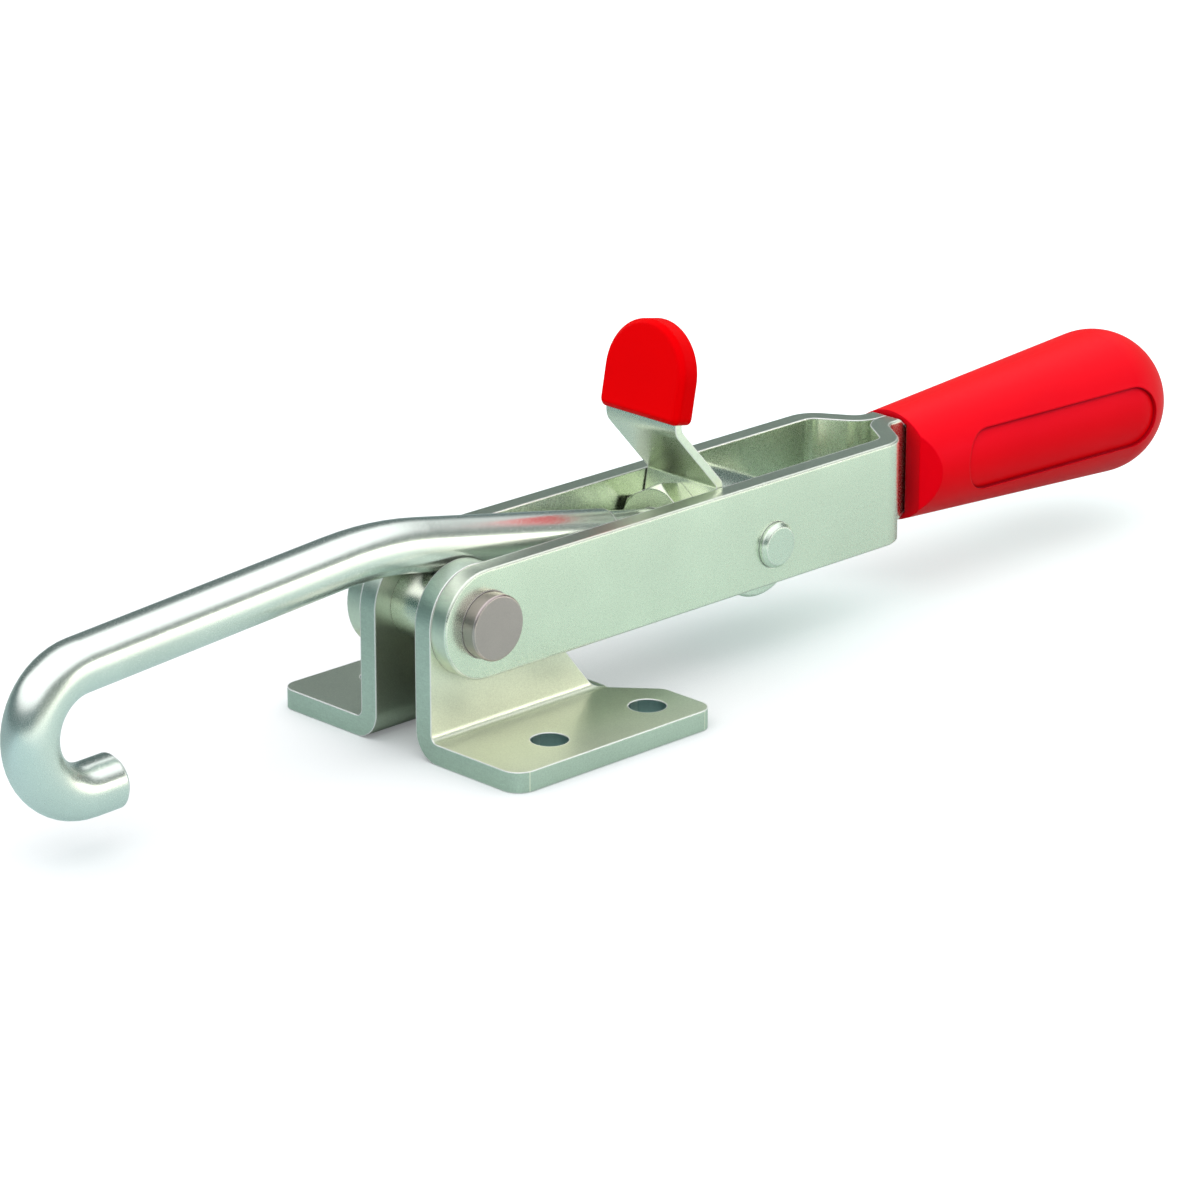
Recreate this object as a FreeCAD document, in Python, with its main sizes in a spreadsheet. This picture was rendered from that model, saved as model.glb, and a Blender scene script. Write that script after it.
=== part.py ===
import FreeCAD, Part
import math
import os
import Sketcher
from FreeCAD import Placement, Rotation, Vector

# Over centre toggle latch: two bent brackets carry a pivot pin, a two-armed
# handle turns on the pin, and a J hook hangs from a trunnion between the arms.
# The origin is the centre of the four bolt holes on the underside of the base.
# +X points towards the grip, +Z up, and the near side is -Y.

doc = FreeCAD.newDocument("toggle_latch")

# Driving dimensions, in millimetres and degrees
DIMENSIONS = [
    ("base_length", 39.6),
    ("base_width", 50.8),
    ("base_sheet", 3.15),
    ("base_bend", 1.2),
    ("wall_gap", 8.5),
    ("wall_top_radius", 8.3),
    ("wall_rear_slope", 51.0),
    ("wall_foot_radius", 3.0),
    ("wall_foot_length", 34.1),
    ("near_corner_radius", 3.0),
    ("far_corner_radius", 2.7),
    ("rear_corner_radius", 2.8),
    ("flange_step_depth", 10.3),
    ("flange_step_radius", 2.5),
    ("flange_step_rise", 6.2),
    ("bolt_hole", 5.6),
    ("bolt_pitch_long", 19.7),
    ("bolt_pitch_cross", 36.3),
    ("bolt_front_margin", 13.1),
    ("pivot_height", 19.8),
    ("pin_diameter", 9.8),
    ("pin_stand_out", 2.35),
    ("pin_edge", 0.25),
    ("spacer_diameter", 10.6),
    ("press_clearance", 0.01),
    ("running_clearance", 0.05),
    ("side_clearance", 0.05),
    ("arm_sheet", 3.05),
    ("arm_half_height", 8.2),
    ("arm_edge", 0.25),
    ("jog_start", 85.5),
    ("jog_angle", 57.0),
    ("jog_first_bend", 2.4),
    ("jog_second_bend", 2.6),
    ("tang_half_height", 6.85),
    ("tang_corner", 2.0),
    ("tang_length", 45.0),
    ("rivet_diameter", 4.0),
    ("rivet_from_mouth", 12.0),
    ("rivet_pitch", 22.0),
    ("grip_start", 95.7),
    ("grip_front_radius", 8.78),
    ("grip_end_centre", 144.3),
    ("grip_end_radius", 11.72),
    ("grip_side_cut_width", 6.4),
    ("grip_side_cut_angle", 45.0),
    ("grip_mouth_gap", 0.4),
    ("grip_mouth_depth", 1.5),
    ("panel_start", 104.3),
    ("panel_end", 146.9),
    ("panel_half_height", 4.95),
    ("panel_depth", 0.55),
    ("trunnion_reach", 59.1),
    ("trunnion_drop", 1.95),
    ("trunnion_diameter", 17.9),
    ("seat_diameter", 12.0),
    ("seat_reach", 9.9),
    ("trunnion_edge", 0.4),
    ("journal_diameter", 7.0),
    ("head_stand_out", 1.2),
    ("head_chamfer", 0.6),
    ("rod_diameter", 8.0),
    ("rod_rest_gap", 0.06),
    ("thread_diameter", 7.2),
    ("thread_hole_clearance", 0.1),
    ("thread_chamfer", 1.0),
    ("rod_shoulder", 26.8),
    ("rod_tail", 18.5),
    ("rod_first_run", 72.4),
    ("rod_bend_angle", 15.3),
    ("rod_bend_radius", 58.6),
    ("rod_second_run", 53.9),
    ("hook_radius", 9.05),
    ("hook_turn", 177.5),
    ("hook_tip", 4.65),
    ("hook_tip_chamfer", 0.5),
    ("nut_across_flats", 13.0),
    ("nut_height", 4.9),
    ("nut_chamfer_angle", 30.0),
    ("lever_sheet", 1.25),
    ("lever_half_width", 7.25),
    ("lever_foot", 8.0),
    ("lever_foot_corner", 3.0),
    ("lever_fold_height", 8.45),
    ("lever_step", 10.75),
    ("lever_slope", 37.0),
    ("lever_first_bend", 0.6),
    ("lever_second_bend", 1.65),
    ("cap_bottom", 17.95),
    ("cap_top", 32.45),
    ("cap_half_width", 8.2),
    ("cap_wall", 1.1),
    ("cap_depth", 3.95),
    ("cap_corner", 1.2),
    ("cap_edge", 0.7),
    ("cap_pocket_clearance", 0.05),
]

sheet = doc.addObject("Spreadsheet::Sheet", "Sizes")


class Size:
    # A value together with the spreadsheet expression that gives it.
    def __init__(self, value, text):
        self.value = float(value)
        self.text = text

    def __add__(self, other):
        other = as_size(other)
        return Size(self.value + other.value, f"({self.text} + {other.text})")

    def __sub__(self, other):
        other = as_size(other)
        return Size(self.value - other.value, f"({self.text} - {other.text})")

    def __mul__(self, other):
        other = as_size(other)
        return Size(self.value * other.value, f"({self.text} * {other.text})")

    def __truediv__(self, other):
        other = as_size(other)
        return Size(self.value / other.value, f"({self.text} / {other.text})")

    def __neg__(self):
        return Size(-self.value, f"(0 - {self.text})")


def as_size(number):
    if isinstance(number, Size):
        return number
    return Size(number, repr(float(number)))


def sine(angle):
    return Size(math.sin(math.radians(angle.value)), f"sin({angle.text})")


def cosine(angle):
    return Size(math.cos(math.radians(angle.value)), f"cos({angle.text})")


def tangent(angle):
    return Size(math.tan(math.radians(angle.value)), f"tan({angle.text})")


def arc_sine(ratio):
    return Size(math.degrees(math.asin(ratio.value)), f"(asin({ratio.text}) / 1 deg)")


def arc_tangent(ratio):
    return Size(math.degrees(math.atan(ratio.value)), f"(atan({ratio.text}) / 1 deg)")


def square_root(size):
    return Size(math.sqrt(size.value), f"sqrt({size.text})")


size = {}
for row, (alias, number) in enumerate(DIMENSIONS, start=1):
    sheet.set(f"A{row}", alias.replace("_", " "))
    sheet.set(f"B{row}", str(number))
    sheet.setAlias(f"B{row}", alias)
    size[alias] = Size(number, f"Sizes.{alias}")
doc.recompute()

zero = as_size(0)
past = as_size(5)
base_front = -(size["bolt_pitch_long"] / 2 + size["bolt_front_margin"])
wall_inner = size["wall_gap"] / 2
wall_outer = wall_inner + size["base_sheet"]
arm_inner = wall_outer + size["side_clearance"]
arm_outer = arm_inner + size["arm_sheet"]
pivot_x = base_front + size["wall_top_radius"]
pivot_z = size["pivot_height"]
trunnion_x = pivot_x + size["trunnion_reach"]
trunnion_z = pivot_z - size["trunnion_drop"]
trunnion_radius = size["trunnion_diameter"] / 2
rod_radius = size["rod_diameter"] / 2
pin_radius = size["pin_diameter"] / 2
spacer_radius = size["spacer_diameter"] / 2
thread_hole_radius = size["thread_diameter"] / 2 + size["thread_hole_clearance"]

# The rod lies on the spacer, which sets how far it tilts at the trunnion.
axis_distance = square_root(
    size["trunnion_reach"] * size["trunnion_reach"] + size["trunnion_drop"] * size["trunnion_drop"]
)
rest_distance = spacer_radius + rod_radius + size["rod_rest_gap"]
rod_tilt = arc_sine(rest_distance / axis_distance) + arc_tangent(
    size["trunnion_drop"] / size["trunnion_reach"]
)


def bind(target, name, value):
    # Set a property now and keep it tied to the sheet.
    setattr(target, name, value.value)
    target.setExpression(name, value.text)


def new_body(name):
    body = doc.addObject("PartDesign::Body", name)
    body.Label = name
    return body


def place(target, x, z, tilt=None):
    # Move a piece to a pivot in the middle plane, and lean it about Y.
    target.Placement = Placement(Vector(x.value, 0, z.value), Rotation(Vector(0, 1, 0), 0))
    target.setExpression("Placement.Base.x", x.text)
    target.setExpression("Placement.Base.z", z.text)
    if tilt is not None:
        target.Placement.Rotation = Rotation(Vector(0, 1, 0), tilt.value)
        target.setExpression("Placement.Rotation.Angle", f"{tilt.text} * 1 deg")


def sketch_on(body, role, name, offset=None):
    # A sketch on one of the body's own origin planes, moved along its normal.
    # XY looks down Z, XZ has X across, Z up and -Y as normal, YZ has +X as normal.
    sketch = body.newObject("Sketcher::SketchObject", name)
    plane = [feature for feature in body.Origin.OriginFeatures if feature.Role == role][0]
    sketch.AttachmentSupport = [(plane, "")]
    sketch.MapMode = "FlatFace"
    if offset is not None:
        sketch.AttachmentOffset = Placement(Vector(0, 0, offset.value), Rotation())
        sketch.setExpression("AttachmentOffset.Base.z", offset.text)
    return sketch


def constrain(sketch, kind, places, value):
    index = sketch.addConstraint(Sketcher.Constraint(kind, *places, value.value))
    sketch.setExpression(f"Constraints[{index}]", value.text)


def constrain_angle(sketch, places, value):
    index = sketch.addConstraint(Sketcher.Constraint("Angle", *places, math.radians(value.value)))
    sketch.setExpression(f"Constraints[{index}]", f"{value.text} * 1 deg")


def fixed_point(sketch, across, up):
    point = sketch.addGeometry(Part.Point(Vector(across.value, up.value, 0)), True)
    constrain(sketch, "DistanceX", (-1, 1, point, 1), across)
    constrain(sketch, "DistanceY", (-1, 1, point, 1), up)
    return point


def corner(across, up, radius=None, centre_across=None, centre_up=None):
    # radius rounds the corner. With either centre coordinate, the edge that leaves the
    # corner is an arc about that centre.
    centre = None
    if centre_across is not None or centre_up is not None:
        centre = (centre_across, centre_up)
    return {"at": (as_size(across), as_size(up)), "radius": radius, "centre": centre}


def outline(sketch, corners):
    # A closed outline through the corners, anticlockwise. Straight edges stay on the
    # line through their two corners, and rounded corners are tangent arcs.
    count = len(corners)
    spots = [Vector(c["at"][0].value, c["at"][1].value, 0) for c in corners]
    points = [fixed_point(sketch, *c["at"]) for c in corners]
    ends = []
    for i, c in enumerate(corners):
        start, stop = spots[i], spots[(i + 1) % count]
        following = corners[(i + 1) % count]
        if c["centre"] is not None:
            ends.append(arc_edge(sketch, c["centre"], start, stop, points[i], points[(i + 1) % count]))
            continue
        along = (stop - start).normalize()
        first = start + along * trim(spots, i, c["radius"])
        last = stop - along * trim(spots, (i + 1) % count, following["radius"])
        line = sketch.addGeometry(Part.LineSegment(first, last), False)
        if corners[i - 1]["centre"] is None:
            sketch.addConstraint(Sketcher.Constraint("PointOnObject", points[i], 1, line))
        if following["centre"] is None:
            sketch.addConstraint(Sketcher.Constraint("PointOnObject", points[(i + 1) % count], 1, line))
        ends.append((line, 1, line, 2))
    for i, c in enumerate(corners):
        before, after = ends[i - 1], ends[i]
        if c["radius"] is not None:
            round_corner(sketch, spots, i, c["radius"], before, after)
        elif c["centre"] is None and corners[i - 1]["centre"] is None:
            sketch.addConstraint(Sketcher.Constraint("Coincident", before[2], before[3], after[0], after[1]))
        else:
            join_at_point(sketch, points[i], before, after, c, corners[i - 1])


def trim(spots, i, radius):
    # How much a rounded corner takes off each of its edges.
    if radius is None:
        return 0.0
    one = spots[i - 1] - spots[i]
    two = spots[(i + 1) % len(spots)] - spots[i]
    return radius.value / math.tan(one.getAngle(two) / 2)


def round_corner(sketch, spots, i, radius, before, after):
    spot = spots[i]
    back = (spots[i - 1] - spot).normalize()
    ahead = (spots[(i + 1) % len(spots)] - spot).normalize()
    cut = trim(spots, i, radius)
    centre = spot + (back + ahead).normalize() * math.hypot(cut, radius.value)
    start = spot + back * cut - centre
    stop = spot + ahead * cut - centre
    turns_left = start.cross(stop).z > 0
    if not turns_left:
        start, stop = stop, start
    arc = sketch.addGeometry(
        Part.ArcOfCircle(
            Part.Circle(centre, Vector(0, 0, 1), radius.value),
            math.atan2(start.y, start.x),
            math.atan2(stop.y, stop.x),
        ),
        False,
    )
    entry, leave = (1, 2) if turns_left else (2, 1)
    sketch.addConstraint(Sketcher.Constraint("Tangent", before[2], before[3], arc, entry))
    sketch.addConstraint(Sketcher.Constraint("Tangent", arc, leave, after[0], after[1]))
    constrain(sketch, "Radius", (arc,), radius)


def arc_edge(sketch, centre_given, start, stop, start_point, stop_point):
    # An arc that runs anticlockwise from start to stop about a centre on their bisector.
    across, up = centre_given
    middle = (start + stop) * 0.5
    chord = stop - start
    if up is None:
        height = middle.y - (across.value - middle.x) * chord.x / chord.y
        centre = Vector(across.value, height, 0)
    else:
        width = middle.x - (up.value - middle.y) * chord.y / chord.x
        centre = Vector(width, up.value, 0)
    arc = sketch.addGeometry(
        Part.ArcOfCircle(
            Part.Circle(centre, Vector(0, 0, 1), (start - centre).Length),
            math.atan2(start.y - centre.y, start.x - centre.x),
            math.atan2(stop.y - centre.y, stop.x - centre.x),
        ),
        False,
    )
    sketch.addConstraint(Sketcher.Constraint("Coincident", arc, 1, start_point, 1))
    sketch.addConstraint(Sketcher.Constraint("Coincident", arc, 2, stop_point, 1))
    if up is None:
        constrain(sketch, "DistanceX", (-1, 1, arc, 3), across)
    else:
        constrain(sketch, "DistanceY", (-1, 1, arc, 3), up)
    return (arc, 1, arc, 2)


def join_at_point(sketch, point, before, after, this, last):
    # Where an arc edge meets a straight one, the straight one ends on the fixed point.
    if last["centre"] is None:
        sketch.addConstraint(Sketcher.Constraint("Coincident", before[2], before[3], point, 1))
    if this["centre"] is None:
        sketch.addConstraint(Sketcher.Constraint("Coincident", after[0], after[1], point, 1))


def circle(sketch, across, up, radius):
    ring = sketch.addGeometry(
        Part.Circle(Vector(across.value, up.value, 0), Vector(0, 0, 1), radius.value), False
    )
    constrain(sketch, "DistanceX", (-1, 1, ring, 3), across)
    constrain(sketch, "DistanceY", (-1, 1, ring, 3), up)
    constrain(sketch, "Radius", (ring,), radius)


def rectangle(sketch, left, right, low, high):
    outline(sketch, [corner(left, low), corner(right, low), corner(right, high), corner(left, high)])


def stadium(sketch, left, right, half_height):
    outline(sketch, [
        corner(left + half_height, -half_height),
        corner(right - half_height, -half_height, centre_across=right - half_height),
        corner(right - half_height, half_height),
        corner(left + half_height, half_height, centre_across=left + half_height),
    ])


def pad(body, sketch, length, symmetric=False):
    feature = body.newObject("PartDesign::Pad", sketch.Name + "_pad")
    feature.Profile = sketch
    bind(feature, "Length", length)
    feature.Midplane = symmetric
    return feature


def pocket(body, sketch, length, symmetric=False, flipped=False):
    feature = body.newObject("PartDesign::Pocket", sketch.Name + "_pocket")
    feature.Profile = sketch
    bind(feature, "Length", length)
    feature.Midplane = symmetric
    feature.Reversed = flipped
    return feature


def turn(body, sketch, kind, axis):
    feature = body.newObject("PartDesign::" + kind, sketch.Name + "_turn")
    feature.Profile = sketch
    feature.ReferenceAxis = (sketch, [axis])
    feature.Angle = 360
    return feature


def soften(body, feature, keep, amount, kind="Fillet"):
    # Round or bevel the edges of a feature that keep() picks.
    doc.recompute()
    names = [f"Edge{n}" for n, edge in enumerate(feature.Shape.Edges, start=1) if keep(edge)]
    softened = body.newObject("PartDesign::" + kind, feature.Name + "_soft")
    softened.Base = (feature, names)
    bind(softened, "Radius" if kind == "Fillet" else "Size", amount)
    return softened


def mirrored(source, name):
    twin = doc.addObject("Part::Mirroring", name)
    twin.Label = name
    twin.Source = source
    twin.Normal = Vector(0, 1, 0)
    return twin


def flat_edge(edge, axis, level):
    # True for an edge that lies wholly in the plane axis = level.
    box = edge.BoundBox
    low = {"x": box.XMin, "y": box.YMin, "z": box.ZMin}[axis]
    high = {"x": box.XMax, "y": box.YMax, "z": box.ZMax}[axis]
    return abs(low - level) < 1e-4 and abs(high - level) < 1e-4


# Base bracket: an L section along X, trimmed in side view and in plan
def make_bracket(name, front_radius):
    body = new_body(name)
    half_width = size["base_width"] / 2
    base_sheet = size["base_sheet"]
    bend = size["base_bend"]
    wall_top = pivot_z + size["wall_top_radius"]

    section = sketch_on(body, "YZ_Plane", "bracket_section", base_front)
    outline(section, [
        corner(wall_inner, 0, radius=bend + base_sheet),
        corner(half_width, 0),
        corner(half_width, base_sheet),
        corner(wall_outer, base_sheet, radius=bend),
        corner(wall_outer, wall_top),
        corner(wall_inner, wall_top),
    ])
    pad(body, section, size["base_length"])

    # Side view: round top about the pivot, then a straight slope down to the flange
    slope = size["wall_rear_slope"]
    edge_x = pivot_x + size["wall_top_radius"] * sine(slope)
    edge_z = pivot_z + size["wall_top_radius"] * cosine(slope)
    foot_z = base_sheet + 0.15
    foot_x = edge_x + (edge_z - foot_z) / tangent(slope)
    apex_z = edge_z + (edge_x - base_front) * tangent(slope)
    far_x = base_front + size["base_length"] + past
    side = sketch_on(body, "XZ_Plane", "bracket_side")
    outline(side, [
        corner(base_front, -past),
        corner(far_x, -past),
        corner(far_x, foot_z),
        corner(foot_x, foot_z, radius=size["wall_foot_radius"]),
        corner(base_front, apex_z, radius=size["wall_top_radius"]),
    ])
    rectangle(side, base_front - past, far_x + past, -(past * 2), apex_z + past)
    pocket(body, side, wall_outer + bend, flipped=False)

    # Plan: rounded outer corners and the stepped rear corner beside the wall
    foot_y = wall_outer + size["base_bend"]
    rear_x = base_front + size["base_length"]
    wall_foot_x = base_front + size["wall_foot_length"]
    step_y = foot_y + size["flange_step_rise"]
    plan = sketch_on(body, "XY_Plane", "bracket_plan")
    outline(plan, [
        corner(base_front, -past),
        corner(wall_foot_x, -past),
        corner(wall_foot_x, foot_y),
        corner(rear_x, step_y, radius=size["flange_step_radius"]),
        corner(rear_x, half_width, radius=size["rear_corner_radius"]),
        corner(base_front, half_width, radius=front_radius),
    ])
    rectangle(plan, base_front - past, rear_x + past, -(past * 2), half_width + past)
    pocket(body, plan, apex_z * 2, symmetric=True)

    holes = sketch_on(body, "XY_Plane", "bolt_holes")
    for side_of_centre in (-1, 1):
        hole_x = size["bolt_pitch_long"] * (side_of_centre / 2)
        circle(holes, hole_x, size["bolt_pitch_cross"] / 2, size["bolt_hole"] / 2)
    pocket(body, holes, base_sheet * 4, symmetric=True)

    bore = sketch_on(body, "XZ_Plane", "bracket_bore")
    circle(bore, pivot_x, pivot_z, pin_radius + size["press_clearance"])
    pocket(body, bore, size["base_width"], symmetric=True)
    return body


# Pivot pin and the spacer that keeps the walls apart
def make_pin():
    body = new_body("pivot_pin")
    profile = sketch_on(body, "XY_Plane", "pin_profile")
    half_length = arm_outer + size["pin_stand_out"]
    edge = size["pin_edge"]
    outline(profile, [
        corner(0, -half_length),
        corner(pin_radius - edge, -half_length),
        corner(pin_radius, -half_length + edge),
        corner(pin_radius, half_length - edge),
        corner(pin_radius - edge, half_length),
        corner(0, half_length),
    ])
    turn(body, profile, "Revolution", "V_Axis")
    place(body, pivot_x, pivot_z)
    return body


def make_spacer():
    body = new_body("pivot_spacer")
    ring = sketch_on(body, "XZ_Plane", "spacer_ring")
    circle(ring, zero, zero, spacer_radius)
    circle(ring, zero, zero, pin_radius + size["press_clearance"])
    pad(body, ring, size["wall_gap"], symmetric=True)
    place(body, pivot_x, pivot_z)
    return body


# Handle arm, in a frame at the pivot: a strip with an S bend, trimmed in side view
def make_arm():
    body = new_body("handle_arm_far")
    thickness = size["arm_sheet"]
    half_height = size["arm_half_height"]
    half_jog = size["jog_angle"] / 2
    mitre = thickness * tangent(half_jog)
    first_x = size["jog_start"]
    second_x = first_x + arm_inner / tangent(size["jog_angle"])
    tang_end = size["grip_start"] + size["tang_length"]

    strip = sketch_on(body, "XY_Plane", "arm_strip")
    outline(strip, [
        corner(-half_height, arm_inner),
        corner(first_x, arm_inner, radius=size["jog_first_bend"]),
        corner(second_x, 0, radius=size["jog_second_bend"] + thickness),
        corner(tang_end, 0),
        corner(tang_end, thickness),
        corner(second_x + mitre, thickness, radius=size["jog_second_bend"]),
        corner(first_x + mitre, arm_outer, radius=size["jog_first_bend"] + thickness),
        corner(-half_height, arm_outer),
    ])
    pad(body, strip, half_height * 2, symmetric=True)

    shoulder = half_height - size["tang_half_height"]
    tang_half = size["tang_half_height"]
    neck = size["grip_start"] + size["grip_mouth_gap"]
    side = sketch_on(body, "XZ_Plane", "arm_side")
    outline(side, [
        corner(0, -half_height),
        corner(neck - shoulder, -half_height),
        corner(neck, -tang_half),
        corner(tang_end, -tang_half, radius=size["tang_corner"]),
        corner(tang_end, tang_half, radius=size["tang_corner"]),
        corner(neck, tang_half),
        corner(neck - shoulder, half_height),
        corner(0, half_height, centre_across=zero),
    ])
    rectangle(side, -half_height - past, tang_end + past, -half_height - past, half_height + past)
    pocket(body, side, arm_outer * 4, symmetric=True)

    bores = sketch_on(body, "XZ_Plane", "arm_bores")
    circle(bores, zero, zero, pin_radius + size["running_clearance"])
    circle(
        bores, size["trunnion_reach"], -size["trunnion_drop"],
        size["journal_diameter"] / 2 + size["running_clearance"],
    )
    for place_along in (0, 1):
        rivet_x = size["grip_start"] + size["rivet_from_mouth"] + size["rivet_pitch"] * place_along
        circle(bores, rivet_x, zero, size["rivet_diameter"] / 2 + size["press_clearance"])
    drilled = pocket(body, bores, arm_outer * 4, symmetric=True)

    # The stamped edges of the outer face are broken.
    reach = first_x.value - size["jog_first_bend"].value
    soften(
        body, drilled,
        lambda edge: flat_edge(edge, "y", arm_outer.value)
        and edge.BoundBox.XMin < reach and not closed_circle(edge),
        size["arm_edge"],
        kind="Chamfer",
    )
    place(body, pivot_x, pivot_z)
    return body


def closed_circle(edge):
    return len(edge.Vertexes) == 1


def make_rivets():
    for index, name in enumerate(("tang_rivet_front", "tang_rivet_rear")):
        rivet = doc.addObject("Part::Cylinder", name)
        rivet.Label = name
        bind(rivet, "Radius", size["rivet_diameter"] / 2)
        bind(rivet, "Height", size["arm_sheet"] * 2)
        along = size["grip_start"] + size["rivet_from_mouth"] + size["rivet_pitch"] * index
        rivet.Placement = Placement(Vector(0, 0, 0), Rotation(Vector(1, 0, 0), 90))
        rivet.setExpression("Placement.Base.x", (pivot_x + along).text)
        rivet.setExpression("Placement.Base.y", size["arm_sheet"].text)
        rivet.setExpression("Placement.Base.z", pivot_z.text)
        yield rivet


# Grip, in a frame at the pivot: a tapered round body with a ball end
def grip_turning(body, name, inset, front):
    # The taper is the tangent from the front rim to the ball end.
    front_radius = size["grip_front_radius"] - inset
    end_radius = size["grip_end_radius"] - inset
    end_centre = size["grip_end_centre"]
    run = end_centre - size["grip_start"]
    slant = square_root(run * run + front_radius * front_radius)
    taper = arc_sine(end_radius / slant) - arc_tangent(front_radius / run)
    profile = sketch_on(body, "XZ_Plane", name)
    outline(profile, [
        corner(front, 0),
        corner(end_centre + end_radius, 0, centre_across=end_centre),
        corner(end_centre - end_radius * sine(taper), end_radius * cosine(taper)),
        corner(front, front_radius - (size["grip_start"] - front) * tangent(taper)),
    ])
    return turn(body, profile, "Revolution", "H_Axis")


def make_grip():
    blank = new_body("grip_blank")
    start = size["grip_start"]
    grip_turning(blank, "grip_profile", zero, start)

    # Slanted side cuts narrow the front to the tangs.
    cut_angle = size["grip_side_cut_angle"]
    inner_y = size["grip_side_cut_width"]
    reach = past * 2
    cuts = sketch_on(blank, "XY_Plane", "grip_side_cuts")
    near_x, far_x = start - past, start + reach
    near_y = inner_y - past * tangent(cut_angle)
    far_y = inner_y + reach * tangent(cut_angle)
    outline(cuts, [corner(near_x, near_y), corner(far_x, far_y), corner(near_x, far_y)])
    outline(cuts, [corner(near_x, -near_y), corner(near_x, -far_y), corner(far_x, -far_y)])
    pocket(blank, cuts, size["grip_end_radius"] * 4, symmetric=True)

    # Slot for the two tangs, a little wider at the mouth
    half_width = size["arm_sheet"] + size["press_clearance"]
    half_height = size["tang_half_height"] + size["press_clearance"]
    slot = sketch_on(blank, "YZ_Plane", "grip_slot", start)
    rectangle(slot, -half_width, half_width, -half_height, half_height)
    pocket(blank, slot, size["tang_length"] + size["press_clearance"], flipped=True)
    mouth = sketch_on(blank, "YZ_Plane", "grip_mouth", start)
    gap = size["grip_mouth_gap"]
    rectangle(mouth, -half_width - gap, half_width + gap, -half_height - gap, half_height + gap)
    pocket(blank, mouth, size["grip_mouth_depth"], flipped=True)

    # A sunk panel on each side, whose floor follows the round body
    core = new_body("grip_core")
    grip_turning(core, "core_profile", size["panel_depth"], start)
    prism = new_body("panel_prism")
    panel = sketch_on(prism, "XZ_Plane", "panel_outline")
    stadium(panel, size["panel_start"], size["panel_end"], size["panel_half_height"])
    pad(prism, panel, size["grip_end_radius"] * 4, symmetric=True)
    shell = doc.addObject("Part::Cut", "panel_shell")
    shell.Base = prism
    shell.Tool = core
    grip = doc.addObject("Part::Cut", "grip")
    grip.Label = "grip"
    grip.Base = blank
    grip.Tool = shell
    place(grip, pivot_x, pivot_z)
    return grip


# Trunnion, in the rod's frame: a turned cross bar with journals, cross-drilled
def make_trunnion():
    body = new_body("trunnion")
    half_barrel = arm_inner - size["side_clearance"]
    half_length = arm_outer + size["head_stand_out"]
    journal = size["journal_diameter"] / 2
    edge = size["trunnion_edge"]
    chamfer = size["head_chamfer"]
    profile = sketch_on(body, "XY_Plane", "trunnion_profile")
    outline(profile, [
        corner(0, -half_length),
        corner(journal - chamfer, -half_length),
        corner(journal, -half_length + chamfer),
        corner(journal, -half_barrel),
        corner(trunnion_radius - edge, -half_barrel),
        corner(trunnion_radius, -half_barrel + edge),
        corner(trunnion_radius, half_barrel - edge),
        corner(trunnion_radius - edge, half_barrel),
        corner(journal, half_barrel),
        corner(journal, half_length - chamfer),
        corner(journal - chamfer, half_length),
        corner(0, half_length),
    ])
    turn(body, profile, "Revolution", "V_Axis")
    # Flat seats for the lever and the rear nut
    seats = sketch_on(body, "YZ_Plane", "seats")
    circle(seats, zero, zero, size["seat_diameter"] / 2)
    pad(body, seats, size["seat_reach"] * 2, symmetric=True)
    cross = sketch_on(body, "YZ_Plane", "rod_hole")
    circle(cross, zero, zero, thread_hole_radius)
    pocket(body, cross, size["trunnion_diameter"] * 2, symmetric=True)
    place(body, trunnion_x, trunnion_z, rod_tilt)
    return body


# J hook, in the rod's frame: the rod leaves the trunnion towards -X
def make_hook():
    body = new_body("j_hook")
    path = sketch_on(body, "XZ_Plane", "hook_path")
    draw_hook_path(path)
    ring = sketch_on(body, "YZ_Plane", "rod_section", -size["rod_shoulder"])
    circle(ring, zero, zero, rod_radius)
    sweep = body.newObject("PartDesign::AdditivePipe", "hook_sweep")
    sweep.Profile = ring
    sweep.Spine = (path, [])
    tip = soften(body, sweep, is_tip_edge, size["hook_tip_chamfer"], kind="Chamfer")

    thread = size["thread_diameter"] / 2
    chamfer = size["thread_chamfer"]
    tail = sketch_on(body, "XZ_Plane", "thread_profile")
    outline(tail, [
        corner(-size["rod_shoulder"], 0),
        corner(size["rod_tail"], 0),
        corner(size["rod_tail"], thread - chamfer),
        corner(size["rod_tail"] - chamfer, thread),
        corner(-size["rod_shoulder"], thread),
    ])
    turn(body, tail, "Revolution", "H_Axis")
    place(body, trunnion_x, trunnion_z, rod_tilt)
    return body


def is_tip_edge(edge):
    # The rim of the hook's open end: a full circle well below the rod's axis.
    return closed_circle(edge) and edge.CenterOfMass.z < -size["rod_diameter"].value


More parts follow.
